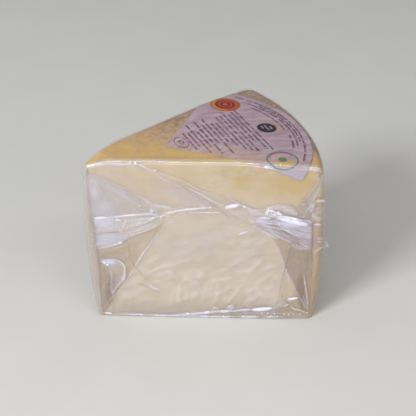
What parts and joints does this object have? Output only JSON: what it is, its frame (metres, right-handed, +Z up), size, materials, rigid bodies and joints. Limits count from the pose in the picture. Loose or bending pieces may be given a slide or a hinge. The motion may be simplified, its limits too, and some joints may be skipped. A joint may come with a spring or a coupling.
{
  "type": "wrapped pecorino cheese wedge",
  "caption": "Wedge of hard sheep's-milk cheese in tight clear film, with a printed paper label folded over the edges of its upper rind.",
  "frame": {"origin": "on the table, under the middle of the pack's box", "axes": "+X from the wedge's tip along its front cut face to the heel, -Y out of that front face, +Z up through the labelled rind"},
  "size_m": [0.1029, 0.0764, 0.0802],
  "materials": {
    "cheese_in_film": "ivory cheese with a golden rind, seen through glossy clear film",
    "label_paper": "matt pale paper with bars and discs of colour"
  },
  "bodies": {
    "root": {"wrapped_wedge": "cheese_in_film", "paper_label": "label_paper"}
  },
  "joints": []
}
